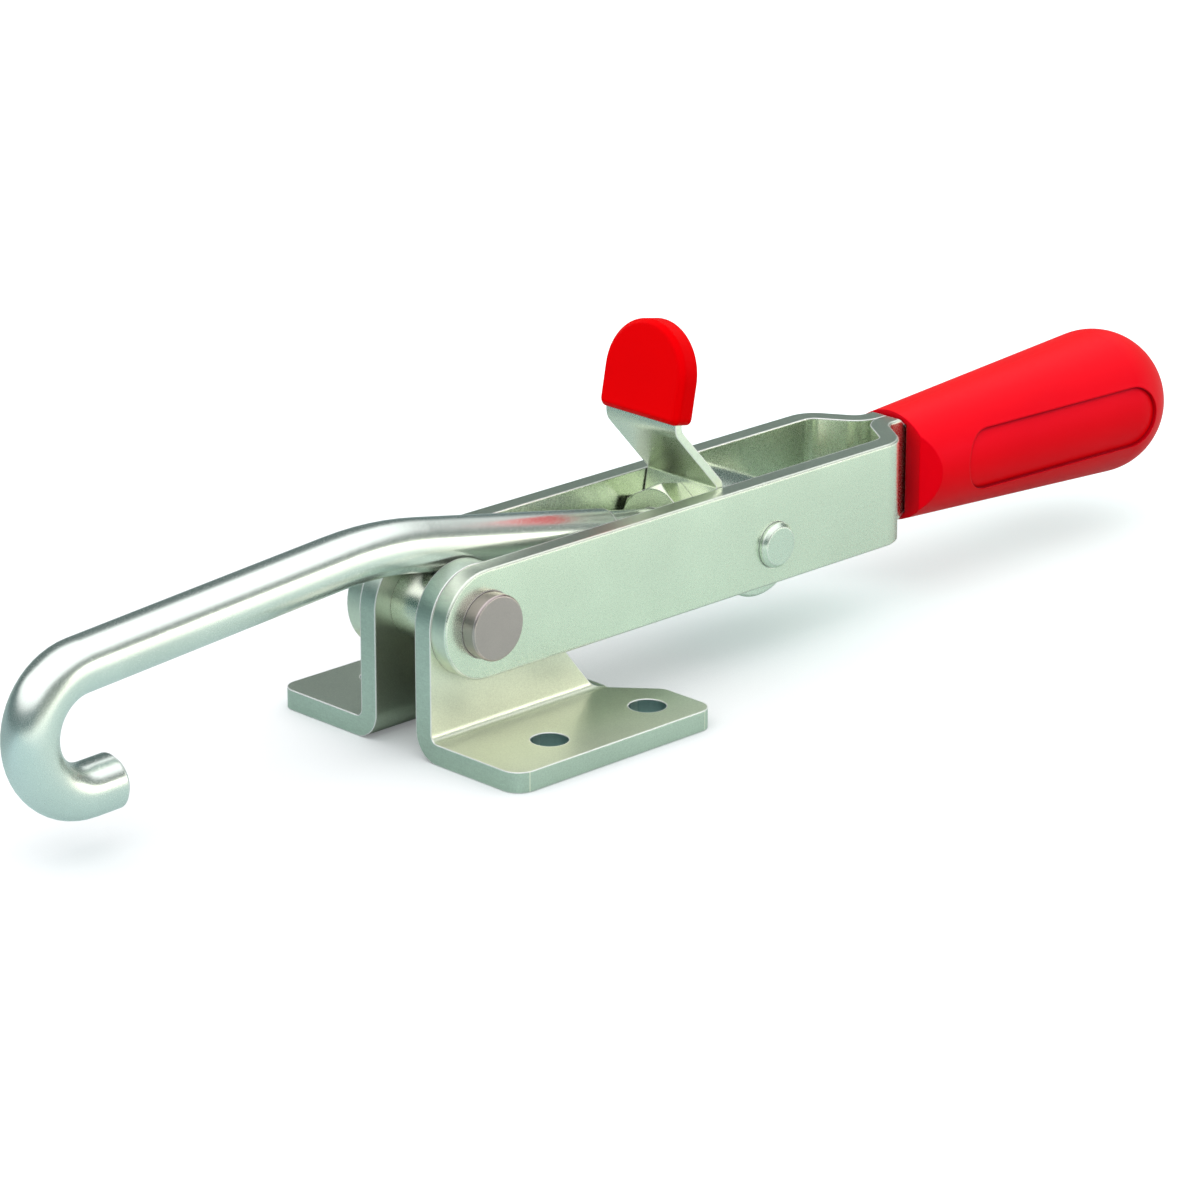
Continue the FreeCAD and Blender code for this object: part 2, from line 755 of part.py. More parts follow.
def draw_hook_path(path):
    # Straight, wide bend, straight, hook, straight tip, each tangent to the next
    shoulder = size["rod_shoulder"]
    bend_radius = size["rod_bend_radius"]
    bend_angle = size["rod_bend_angle"]
    hook_radius = size["hook_radius"]
    cut = bend_radius * tangent(bend_angle / 2)
    heading = math.pi + math.radians(bend_angle.value)
    final = heading + math.radians(size["hook_turn"].value)

    start = Vector(-shoulder.value, 0, 0)
    bend_start = Vector((cut - size["rod_first_run"]).value, 0, 0)
    bend_centre = bend_start + Vector(0, -bend_radius.value, 0)
    bend_end = bend_centre + Vector(math.sin(-bend_angle_radians(bend_angle)), math.cos(
        bend_angle_radians(bend_angle)), 0) * bend_radius.value
    ahead = Vector(math.cos(heading), math.sin(heading), 0)
    hook_start = bend_end + ahead * (size["rod_second_run"] - cut).value
    hook_centre = hook_start + Vector(-ahead.y, ahead.x, 0) * hook_radius.value
    tip_way = Vector(math.cos(final), math.sin(final), 0)
    hook_end = hook_centre + Vector(tip_way.y, -tip_way.x, 0) * hook_radius.value
    tip_end = hook_end + tip_way * size["hook_tip"].value

    first = path.addGeometry(Part.LineSegment(start, bend_start), False)
    bend = path.addGeometry(arc_between(bend_centre, bend_start, bend_end), False)
    second = path.addGeometry(Part.LineSegment(bend_end, hook_start), False)
    hook = path.addGeometry(arc_between(hook_centre, hook_start, hook_end), False)
    tip = path.addGeometry(Part.LineSegment(hook_end, tip_end), False)

    constrain(path, "DistanceX", (-1, 1, first, 1), -shoulder)
    constrain(path, "DistanceY", (-1, 1, first, 1), zero)
    path.addConstraint(Sketcher.Constraint("Horizontal", first))
    constrain(path, "DistanceX", (-1, 1, first, 2), cut - size["rod_first_run"])
    path.addConstraint(Sketcher.Constraint("Tangent", first, 2, bend, 1))
    path.addConstraint(Sketcher.Constraint("Tangent", bend, 2, second, 1))
    path.addConstraint(Sketcher.Constraint("Tangent", second, 2, hook, 1))
    path.addConstraint(Sketcher.Constraint("Tangent", hook, 2, tip, 1))
    constrain(path, "Radius", (bend,), bend_radius)
    constrain(path, "Radius", (hook,), hook_radius)
    constrain_angle(path, (second, 1, first, 2), as_size(180) - bend_angle)
    constrain(path, "Distance", (second,), size["rod_second_run"] - cut)
    constrain_angle(path, (second, 1, tip, 1), size["hook_turn"])
    constrain(path, "Distance", (tip,), size["hook_tip"])


def bend_angle_radians(angle):
    return math.radians(angle.value)


def arc_between(centre, start, stop):
    # Anticlockwise from start to stop
    begin = start - centre
    end = stop - centre
    return Part.ArcOfCircle(
        Part.Circle(centre, Vector(0, 0, 1), begin.Length),
        math.atan2(begin.y, begin.x),
        math.atan2(end.y, end.x),
    )


# Hex nut on the rod's thread, chamfered on the face away from its seat
def make_nut(name, face, outward):
    # face is where the nut's rear face lies along the rod, and outward points away from the seat
    body = new_body(name)
    half_flat = size["nut_across_flats"] / 2
    half_side = half_flat * tangent(as_size(30))
    point = half_side * 2
    height = size["nut_height"]
    hexagon = sketch_on(body, "YZ_Plane", name + "_hexagon", face - height)
    outline(hexagon, [
        corner(0, -point),
        corner(half_flat, -half_side),
        corner(half_flat, half_side),
        corner(0, point),
        corner(-half_flat, half_side),
        corner(-half_flat, -half_side),
    ])
    circle(hexagon, zero, zero, thread_hole_radius)
    pad(body, hexagon, height)
    rise = (point - half_flat) * tangent(size["nut_chamfer_angle"])
    end = face if outward > 0 else face - height
    ring = sketch_on(body, "XZ_Plane", name + "_chamfer")
    corners = [
        corner(end, half_flat),
        corner(end - rise * (outward * 2), point * 2 - half_flat),
        corner(end, point * 2 - half_flat),
    ]
    if outward > 0:
        corners.reverse()
    outline(ring, corners)
    turn(body, ring, "Groove", "H_Axis")
    place(body, trunnion_x, trunnion_z, rod_tilt)
    return body


# Thumb lever: a plate bent twice, so that its tab stands forward of its foot
def make_lever():
    body = new_body("thumb_lever")
    thickness = size["lever_sheet"]
    front = -(size["seat_reach"] + size["press_clearance"] + thickness)
    rear = front + thickness
    tab_front = front - size["lever_step"]
    turn_angle = as_size(90) - size["lever_slope"]
    mitre = thickness * tangent(turn_angle / 2)
    fold_z = size["lever_fold_height"]
    tab_z = fold_z + size["lever_step"] * tangent(size["lever_slope"])
    tab_top = size["cap_top"] - size["cap_wall"]
    strip = sketch_on(body, "XZ_Plane", "lever_strip")
    outline(strip, [
        corner(front, -size["lever_foot"]),
        corner(rear, -size["lever_foot"]),
        corner(rear, fold_z + mitre, radius=size["lever_first_bend"] + thickness),
        corner(tab_front + thickness, tab_z + mitre, radius=size["lever_second_bend"]),
        corner(tab_front + thickness, tab_top),
        corner(tab_front, tab_top),
        corner(tab_front, tab_z, radius=size["lever_second_bend"] + thickness),
        corner(front, fold_z, radius=size["lever_first_bend"]),
    ])
    half_width = size["lever_half_width"]
    pad(body, strip, half_width * 2, symmetric=True)

    # Seen along the rod, the foot's corners are rounded and the tab has a round top.
    face = sketch_on(body, "YZ_Plane", "lever_face")
    foot = -size["lever_foot"]
    outline(face, [
        corner(-half_width, foot, radius=size["lever_foot_corner"]),
        corner(half_width, foot, radius=size["lever_foot_corner"]),
        corner(half_width, tab_top - half_width, centre_up=tab_top - half_width),
        corner(-half_width, tab_top - half_width),
    ])
    rectangle(face, -half_width - past, half_width + past, foot - past, tab_top + past)
    circle(face, zero, zero, thread_hole_radius)
    pocket(body, face, size["lever_step"] * 8, symmetric=True)
    place(body, trunnion_x, trunnion_z, rod_tilt)
    return body


# Red cap pushed over the lever's tab
def make_cap():
    body = new_body("lever_cap")
    thickness = size["lever_sheet"]
    tab_front = -(size["seat_reach"] + size["press_clearance"] + thickness + size["lever_step"])
    cap_front = tab_front - size["cap_wall"]
    half_width = size["cap_half_width"]
    low, high = size["cap_bottom"], size["cap_top"]
    face = sketch_on(body, "YZ_Plane", "cap_face", cap_front)
    outline(face, [
        corner(-half_width, low, radius=size["cap_corner"]),
        corner(half_width, low, radius=size["cap_corner"]),
        corner(half_width, high - half_width, centre_up=high - half_width),
        corner(-half_width, high - half_width),
    ])
    block = pad(body, face, size["cap_depth"])
    cap_back = cap_front + size["cap_depth"]
    soft = soften(
        body, block,
        lambda edge: flat_edge(edge, "x", cap_front.value) or flat_edge(edge, "x", cap_back.value),
        size["cap_edge"],
        kind="Chamfer",
    )

    # The tab's pocket, open at the bottom
    gap = size["cap_pocket_clearance"]
    tab_half = size["lever_half_width"] + gap
    tab_top = high - size["cap_wall"] + gap
    hollow = sketch_on(body, "YZ_Plane", "cap_hollow", tab_front - gap)
    outline(hollow, [
        corner(-tab_half, low - past),
        corner(tab_half, low - past),
        corner(tab_half, tab_top - tab_half, centre_up=tab_top - tab_half),
        corner(-tab_half, tab_top - tab_half),
    ])
    pocket(body, hollow, thickness + gap * 2, flipped=True)
    place(body, trunnion_x, trunnion_z, rod_tilt)
    return body


near_form = make_bracket("near_bracket_form", size["near_corner_radius"])
arm = make_arm()
lever_seat = size["seat_reach"] + size["press_clearance"] * 2 + size["lever_sheet"]
parts = [
    make_bracket("base_bracket_far", size["far_corner_radius"]),
    mirrored(near_form, "base_bracket_near"),
    make_pin(),
    make_spacer(),
    arm,
    mirrored(arm, "handle_arm_near"),
    make_grip(),
    *make_rivets(),
    make_trunnion(),
    make_hook(),
    make_nut("front_nut", -lever_seat, -1),
    make_nut("rear_nut", size["seat_reach"] + size["press_clearance"] + size["nut_height"], 1),
    make_lever(),
    make_cap(),
]
doc.recompute()

# Nothing is written unless every feature worked.
for item in doc.Objects:
    if {"Invalid", "Error"} & set(item.State):
        raise RuntimeError(f"{item.Label} failed: {item.State}")
for part in parts:
    if part.Shape.isNull() or not part.Shape.isValid() or part.Shape.Volume <= 0:
        raise RuntimeError(f"{part.Label} has no valid shape")

os.makedirs("parts", exist_ok=True)
for part in parts:
    part.Shape.exportStep(f"parts/{part.Label}.step")
    box = part.Shape.BoundBox
    print(f"{part.Label}: {part.Shape.Volume:.1f} mm3, {len(part.Shape.Solids)} solid, "
          f"X {box.XMin:.2f} to {box.XMax:.2f}, Y {box.YMin:.2f} to {box.YMax:.2f}, "
          f"Z {box.ZMin:.2f} to {box.ZMax:.2f}")
print(f"rod tilt {rod_tilt.value:.2f} degrees")
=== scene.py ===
import bpy
import math
from mathutils import Matrix, Vector

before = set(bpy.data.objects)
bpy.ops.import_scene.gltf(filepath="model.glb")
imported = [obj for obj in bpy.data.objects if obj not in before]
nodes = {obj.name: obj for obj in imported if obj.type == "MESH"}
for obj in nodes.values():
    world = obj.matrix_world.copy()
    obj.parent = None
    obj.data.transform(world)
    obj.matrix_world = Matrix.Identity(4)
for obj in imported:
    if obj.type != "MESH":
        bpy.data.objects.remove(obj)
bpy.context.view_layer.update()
print("frame loaded:", len(nodes), "nodes")


# Node helpers shared by all the finishes
def newFinish(name):
    finish = bpy.data.materials.new(name)
    finish.use_nodes = True
    tree = finish.node_tree
    shader = tree.nodes["Principled BSDF"]
    return finish, tree, shader


def addNode(tree, kind, **settings):
    node = tree.nodes.new(kind)
    for key, value in settings.items():
        if key in node.inputs:
            node.inputs[key].default_value = value
        else:
            setattr(node, key, value)
    return node


def join(tree, source, output, target, socket):
    tree.links.new(source.outputs[output], target.inputs[socket])


def ramp(tree, stops):
    # stops: (position, colour or grey level)
    stops = list(stops)
    node = addNode(tree, "ShaderNodeValToRGB")
    marks = node.color_ramp.elements
    while len(marks) < len(stops):
        marks.new(0.5)
    for mark, (position, level) in zip(marks, stops):
        mark.position = position
        mark.color = (level, level, level, 1) if isinstance(level, (int, float)) else (*level, 1)
    return node


def shade(colour, factor):
    return tuple(min(1.0, part * factor) for part in colour)


def pointsIn(tree, stretch=(1, 1, 1)):
    # Object coordinates in metres, stretched for grain that runs one way
    place = addNode(tree, "ShaderNodeTexCoord")
    mapping = addNode(tree, "ShaderNodeMapping")
    mapping.inputs["Scale"].default_value = stretch
    join(tree, place, "Object", mapping, "Vector")
    return mapping


def level(tree, source, output, low, high, steps=False):
    # 0 below low, 1 above high
    node = addNode(tree, "ShaderNodeMapRange", interpolation_type="SMOOTHSTEP" if steps else "LINEAR")
    node.inputs["From Min"].default_value = low
    node.inputs["From Max"].default_value = high
    join(tree, source, output, node, "Value")
    return node


def compute(tree, kind, first, second):
    node = addNode(tree, "ShaderNodeMath", operation=kind)
    for socket, value in ((0, first), (1, second)):
        if isinstance(value, (int, float)):
            node.inputs[socket].default_value = value
        else:
            tree.links.new(value, node.inputs[socket])
    return node.outputs[0]


def blendColours(tree, factor, first, second, kind="MIX"):
    node = addNode(tree, "ShaderNodeMix", data_type="RGBA", blend_type=kind)
    if isinstance(factor, (int, float)):
        node.inputs["Factor"].default_value = factor
    else:
        tree.links.new(factor, node.inputs["Factor"])
    for socket, colour in ((6, first), (7, second)):
        if isinstance(colour, tuple):
            node.inputs[socket].default_value = (*colour, 1)
        else:
            tree.links.new(colour, node.inputs[socket])
    return node.outputs[2]


# Where a stamped sheet shows its sheared edge, from the object's own normals and places.
# Tilts are parts of the normal, and places are in metres.
shear = {
    "endTilt": 0.25, "flangeSide": 0.02535, "wallTop": 0.0195, "thinTilt": 0.5, "armTilt": 0.3,
    "armFront": -0.01465,
}


def shearedEdge(tree, sheet):
    place = addNode(tree, "ShaderNodeTexCoord")
    normal = addNode(tree, "ShaderNodeSeparateXYZ")
    join(tree, place, "Normal", normal, "Vector")
    spot = addNode(tree, "ShaderNodeSeparateXYZ")
    join(tree, place, "Object", spot, "Vector")
    along = compute(tree, "ABSOLUTE", normal.outputs["X"], 0.0)
    across = compute(tree, "ABSOLUTE", normal.outputs["Y"], 0.0)
    up = compute(tree, "ABSOLUTE", normal.outputs["Z"], 0.0)
    if sheet == "bracket":
        ends = compute(tree, "GREATER_THAN", along, shear["endTilt"])
        wide = compute(tree, "ABSOLUTE", spot.outputs["Y"], 0.0)
        sides = compute(tree, "GREATER_THAN", wide, shear["flangeSide"])
        high = compute(tree, "GREATER_THAN", spot.outputs["Z"], shear["wallTop"])
        thin = compute(tree, "LESS_THAN", across, shear["thinTilt"])
        outline = compute(tree, "MAXIMUM", ends, sides)
        return compute(tree, "MAXIMUM", outline, compute(tree, "MULTIPLY", high, thin))
    if sheet == "arm":
        rims = compute(tree, "GREATER_THAN", up, shear["armTilt"])
        front = compute(tree, "LESS_THAN", spot.outputs["X"], shear["armFront"])
        thin = compute(tree, "LESS_THAN", across, shear["thinTilt"])
        return compute(tree, "MAXIMUM", rims, compute(tree, "MULTIPLY", front, thin))
    return compute(tree, "GREATER_THAN", across, shear["thinTilt"])


# The walls of the four bolt holes, by their distance from the hole's axis, in metres
boltHole = {"axis": (0.00985, 0.01815, 0.0), "reach": 0.00283}


def boltBore(tree):
    place = addNode(tree, "ShaderNodeTexCoord")
    folded = addNode(tree, "ShaderNodeVectorMath", operation="ABSOLUTE")
    join(tree, place, "Object", folded, 0)
    centred = addNode(tree, "ShaderNodeVectorMath", operation="SUBTRACT")
    tree.links.new(folded.outputs[0], centred.inputs[0])
    centred.inputs[1].default_value = boltHole["axis"]
    flat = addNode(tree, "ShaderNodeVectorMath", operation="MULTIPLY")
    tree.links.new(centred.outputs[0], flat.inputs[0])
    flat.inputs[1].default_value = (1.0, 1.0, 0.0)
    reach = addNode(tree, "ShaderNodeVectorMath", operation="LENGTH")
    tree.links.new(flat.outputs[0], reach.inputs[0])
    return compute(tree, "LESS_THAN", reach.outputs["Value"], boltHole["reach"])


# Zinc-plated steel, satin, with fine grain, softly broken edges that carry a painted highlight, and duller
# sheared edges
steel = {
    "cloudStops": (0.35, 0.65), "cloudShades": (0.96, 1.03), "speckStops": (0.32, 0.68),
    "shearStops": (0.3, 0.7), "shearShades": (0.94, 1.04), "edgeHighlightFrom": 0.985, "edgeHighlightTo": 0.90,
    "bevelSamples": 8, "gapStops": (0.14, 0.34), "gapSamples": 4, "relief": 0.00003,
}


def steelFinish(name, look):
    finish, tree, shader = newFinish(name)
    mapping = pointsIn(tree)

    grain = addNode(tree, "ShaderNodeTexNoise", Scale=look["grainPerMetre"], Detail=2.0, Roughness=0.7)
    join(tree, mapping, "Vector", grain, "Vector")
    cloud = addNode(tree, "ShaderNodeTexNoise", Scale=look["cloudPerMetre"], Detail=2.0, Roughness=0.5)
    join(tree, mapping, "Vector", cloud, "Vector")

    tones = [shade(look["colour"], share) for share in steel["cloudShades"]]
    tint = ramp(tree, zip(steel["cloudStops"], tones))
    join(tree, cloud, "Fac", tint, "Fac")
    speck = ramp(tree, zip(steel["speckStops"], (1.0 - look["speck"], 1.0)))
    join(tree, grain, "Fac", speck, "Fac")
    surface = blendColours(tree, 1.0, tint.outputs["Color"], speck.outputs["Color"], "MULTIPLY")

    rough = level(tree, grain, "Fac", 0.3, 0.7)
    rough.inputs["To Min"].default_value = look["roughness"] - look["roughSpread"]
    rough.inputs["To Max"].default_value = look["roughness"] + look["roughSpread"]
    roughness = rough.outputs["Result"]

    # Painted shade: narrow gaps between sheets are darkened in the colour by ambient occlusion
    if look.get("gapReach"):
        gap = addNode(
            tree, "ShaderNodeAmbientOcclusion", samples=steel["gapSamples"], Distance=look["gapReach"],
        )
        gapPaintedShade = ramp(tree, zip(steel["gapStops"], (look["gapShade"], 1.0)))
        join(tree, gap, "AO", gapPaintedShade, "Fac")
        surface = blendColours(tree, 1.0, surface, gapPaintedShade.outputs["Color"], "MULTIPLY")

    # Painted shade: bolt-hole bores get a darker colour
    if look.get("holes"):
        surface = blendColours(tree, boltBore(tree), surface, look["bore"])

    # Shear marks run through the sheet's thickness
    if look.get("sheet"):
        cut = shearedEdge(tree, look["sheet"])
        tones = [shade(look["shearTint"], share) for share in steel["shearShades"]]
        marks = addNode(tree, "ShaderNodeTexNoise", Scale=look["shearPerMetre"], Detail=2.0, Roughness=0.6)
        marksPlace = pointsIn(tree, look["shearStretch"])
        join(tree, marksPlace, "Vector", marks, "Vector")
        dull = ramp(tree, zip(steel["shearStops"], tones))
        join(tree, marks, "Fac", dull, "Fac")
        dulled = blendColours(tree, 1.0, surface, dull.outputs["Color"], "MULTIPLY")
        surface = blendColours(tree, cut, surface, dulled)
        extra = compute(tree, "MULTIPLY", cut, look["shearRough"])
        roughness = compute(tree, "ADD", roughness, extra)

    # Painted highlight: broken edges are turned pale and less metallic where the softened normal leaves the
    # face's own
    edge = addNode(tree, "ShaderNodeBevel", samples=steel["bevelSamples"], Radius=look["edgeRadius"])
    face = addNode(tree, "ShaderNodeNewGeometry")
    turned = addNode(tree, "ShaderNodeVectorMath", operation="DOT_PRODUCT")
    join(tree, edge, "Normal", turned, 0)
    join(tree, face, "Normal", turned, 1)
    paintedEdgeHighlight = level(tree, turned, "Value", steel["edgeHighlightFrom"], steel["edgeHighlightTo"]).outputs["Result"]
    surface = blendColours(tree, paintedEdgeHighlight, surface, look["edgeHighlightColour"])
    roughness = compute(tree, "ADD", roughness, compute(tree, "MULTIPLY", paintedEdgeHighlight, look["edgeRough"]))
    pale = compute(tree, "MULTIPLY", paintedEdgeHighlight, look["edgeHighlightPale"])
    bright = compute(tree, "SUBTRACT", 1.0 - look.get("haze", 0.0), pale)
    tree.links.new(bright, shader.inputs["Metallic"])
    tree.links.new(surface, shader.inputs["Base Color"])
    tree.links.new(roughness, shader.inputs["Roughness"])

    bump = addNode(tree, "ShaderNodeBump", Strength=look["bump"], Distance=steel["relief"])
    join(tree, grain, "Fac", bump, "Height")
    join(tree, edge, "Normal", bump, "Normal")
    join(tree, bump, "Normal", shader, "Normal")
    return finish


# Moulded plastic with a fine matt skin and painted shade in its crevices
plastic = {
    "cloudStops": (0.35, 0.65), "cloudShades": (0.95, 1.04), "creviceStops": (0.30, 0.80),
    "roughSpread": 0.04, "samples": 8, "relief": 0.00002,
}


def plasticFinish(name, look):
    finish, tree, shader = newFinish(name)
    mapping = pointsIn(tree)
    skin = addNode(tree, "ShaderNodeTexNoise", Scale=look["grainPerMetre"], Detail=2.0, Roughness=0.5)
    join(tree, mapping, "Vector", skin, "Vector")
    cloud = addNode(tree, "ShaderNodeTexNoise", Scale=look["cloudPerMetre"], Detail=2.0)
    join(tree, mapping, "Vector", cloud, "Vector")
    tones = [shade(look["colour"], share) for share in plastic["cloudShades"]]
    tint = ramp(tree, zip(plastic["cloudStops"], tones))
    join(tree, cloud, "Fac", tint, "Fac")
    # Painted shade: the colour is darkened in crevices by ambient occlusion
    creviceOcclusion = addNode(tree, "ShaderNodeAmbientOcclusion", samples=plastic["samples"], Distance=look["crevice"])
    shadow = ramp(tree, zip(plastic["creviceStops"], (look["creviceShadeLevel"], 1.0)))
    join(tree, creviceOcclusion, "AO", shadow, "Fac")
    surface = blendColours(tree, 1.0, tint.outputs["Color"], shadow.outputs["Color"], "MULTIPLY")
    tree.links.new(surface, shader.inputs["Base Color"])
    spread = addNode(tree, "ShaderNodeMapRange")
    spread.inputs["To Min"].default_value = look["roughness"] - plastic["roughSpread"]
    spread.inputs["To Max"].default_value = look["roughness"] + plastic["roughSpread"]
    join(tree, skin, "Fac", spread, "Value")
    join(tree, spread, "Result", shader, "Roughness")
    shader.inputs["Specular IOR Level"].default_value = look["shine"]
    shader.inputs["Specular Tint"].default_value = (*look["shineTint"], 1)
    edge = addNode(tree, "ShaderNodeBevel", samples=plastic["samples"], Radius=look["edgeRadius"])
    bump = addNode(tree, "ShaderNodeBump", Strength=look["bump"], Distance=plastic["relief"])
    join(tree, skin, "Fac", bump, "Height")
    join(tree, edge, "Normal", bump, "Normal")
    join(tree, bump, "Normal", shader, "Normal")
    return finish


def dress(finish, *names):
    for name in names:
        nodes[name].data.materials.clear()
        nodes[name].data.materials.append(finish)


# Base brackets
bracket = {
    "colour": (0.90, 0.93, 0.80), "roughness": 0.36, "roughSpread": 0.04, "grainPerMetre": 5600.0,
    "cloudPerMetre": 60.0, "speck": 0.15, "bump": 0.10, "edgeRadius": 0.0004,
    "edgeHighlightColour": (1.0, 1.0, 1.0), "edgeRough": 0.10, "edgeHighlightPale": 0.6,
    "sheet": "bracket", "shearPerMetre": 900.0, "shearStretch": (4, 1, 4),
    "shearTint": (0.70, 0.785, 0.81), "shearRough": 0.04,
    # gapShade is painted shade in the narrow gaps between sheets, and the bore colour is painted shade in the
    # bolt holes
    "holes": True, "bore": (0.50, 0.60, 0.58), "gapReach": 0.022, "gapShade": (0.50, 0.50, 0.48),
}
dress(steelFinish("bracketSteel", bracket), "base_bracket_near", "base_bracket_far")

# Handle arms
arm = dict(
    bracket, colour=(0.80, 0.87, 0.74), roughness=0.27, speck=0.09, sheet="arm", shearStretch=(4, 1, 1),
    shearTint=(1.0, 0.98, 1.0), shearRough=0.08, holes=False, gapReach=0.0,
)
dress(steelFinish("armSteel", arm), "handle_arm_near", "handle_arm_far")

# Pivot pin, plain steel, and the rivets in the grip
pin = {
    "colour": (0.47, 0.40, 0.40), "roughness": 0.33, "roughSpread": 0.04, "grainPerMetre": 6500.0,
    "cloudPerMetre": 120.0, "speck": 0.10, "bump": 0.08, "edgeRadius": 0.0003,
    "edgeHighlightColour": (0.75, 0.66, 0.62), "edgeRough": 0.0, "edgeHighlightPale": 0.2,
}
dress(steelFinish("pinSteel", pin), "pivot_pin", "tang_rivet_front", "tang_rivet_rear")

# Spacer between the brackets
spacer = dict(pin, colour=(0.80, 0.84, 0.72), roughness=0.27)
dress(steelFinish("spacerSteel", spacer), "pivot_spacer")

# Hook rod, drawn bar with a brighter surface
rod = {
    "colour": (0.79, 0.84, 0.80), "haze": 0.09, "roughness": 0.26, "roughSpread": 0.02,
    "grainPerMetre": 5500.0, "cloudPerMetre": 70.0, "speck": 0.05, "bump": 0.03, "edgeRadius": 0.0005,
    "edgeHighlightColour": (1.0, 1.0, 1.0), "edgeRough": 0.1, "edgeHighlightPale": 0.88,
}
dress(steelFinish("rodSteel", rod), "j_hook")

# Trunnion
trunnion = dict(rod, colour=(0.74, 0.83, 0.73), roughness=0.27, edgeRadius=0.0004, edgeHighlightPale=0.6, haze=0.05)
dress(steelFinish("trunnionSteel", trunnion), "trunnion")

# Hex nuts
nut = {
    "colour": (0.84, 0.92, 0.70), "roughness": 0.25, "roughSpread": 0.04, "grainPerMetre": 6500.0,
    "cloudPerMetre": 120.0, "speck": 0.10, "bump": 0.08, "edgeRadius": 0.0003,
    "edgeHighlightColour": (1.0, 1.0, 0.95), "edgeRough": 0.1, "edgeHighlightPale": 0.6,
}
dress(steelFinish("nutSteel", nut), "front_nut", "rear_nut")

# Thumb lever
lever = dict(
    bracket, colour=(0.86, 0.92, 0.80), roughness=0.28, sheet="lever", shearStretch=(1, 4, 1),
    shearTint=(1.0, 1.0, 1.0), holes=False, gapReach=0.0, edgeRadius=0.0003,
)
dress(steelFinish("leverSteel", lever), "thumb_lever")

# Grip and lever cap, red moulded plastic
grip = {
    "colour": (0.93, 0.0, 0.0), "roughness": 0.46, "shine": 0.17, "shineTint": (0.6, 0.14, 1.0),
    "grainPerMetre": 3500.0, "cloudPerMetre": 35.0, "bump": 0.06, "edgeRadius": 0.0004,
    "crevice": 0.006, "creviceShadeLevel": 0.35,
}
dress(plasticFinish("gripPlastic", grip), "grip")
cap = dict(grip, colour=(0.86, 0.0, 0.0), roughness=0.42, shine=0.03, edgeRadius=0.0007, crevice=0.002)
dress(plasticFinish("capPlastic", cap), "lever_cap")
print("finishes on all nodes")


# Floor: pale and matt, white to the camera, and it keeps the object's shadow, with a painted contact shadow
# added close to the object.
# Its glow for the camera runs along X. What metal sees of it runs along Y. Both are in metres.
floor = {
    "halfSide": 4.0, "drop": 0.00002, "colour": (0.85, 0.86, 0.865),
    "cameraGlow": [(-0.40, (0.16, 0.16, 0.165)), (0.03, (0.15, 0.15, 0.155)), (0.11, (0.29, 0.40, 0.38)),
                   (0.40, (0.29, 0.40, 0.38))],
    "bounce": (0.30, 0.32, 0.32), "contactReach": 0.025, "contactShade": (0.76, 0.80, 0.81),
    "contactStops": (0.25, 0.95), "contactSamples": 4,
    "metalSees": [
        (-0.40, (0.56, 0.685, 0.635)), (-0.02, (0.56, 0.685, 0.635)), (0.015, (0.54, 0.665, 0.64)),
        (0.06, (0.31, 0.39, 0.37)), (0.40, (0.27, 0.34, 0.33)),
    ],
    "metalTint": [
        (-0.40, (0.78, 0.90, 0.98)), (-0.12, (0.84, 0.93, 0.99)), (-0.03, (1.0, 1.0, 1.0)),
        (0.03, (1.10, 1.08, 1.07)), (0.09, (1.0, 1.0, 1.0)), (0.40, (0.97, 0.98, 1.0)),
    ],
    "metalGlow": [
        (-0.40, (0.90, 0.80, 0.66)), (-0.20, (0.80, 0.70, 0.58)), (-0.065, (0.0, 0.0, 0.0)),
        (0.40, (0.0, 0.0, 0.0)),
    ],
}


def along(tree, split, axis, stops):
    reach = level(tree, split, axis, stops[0][0], stops[-1][0])
    span = stops[-1][0] - stops[0][0]
    node = ramp(tree, [((spot - stops[0][0]) / span, colour) for spot, colour in stops])
    join(tree, reach, "Result", node, "Fac")
    return node.outputs["Color"]


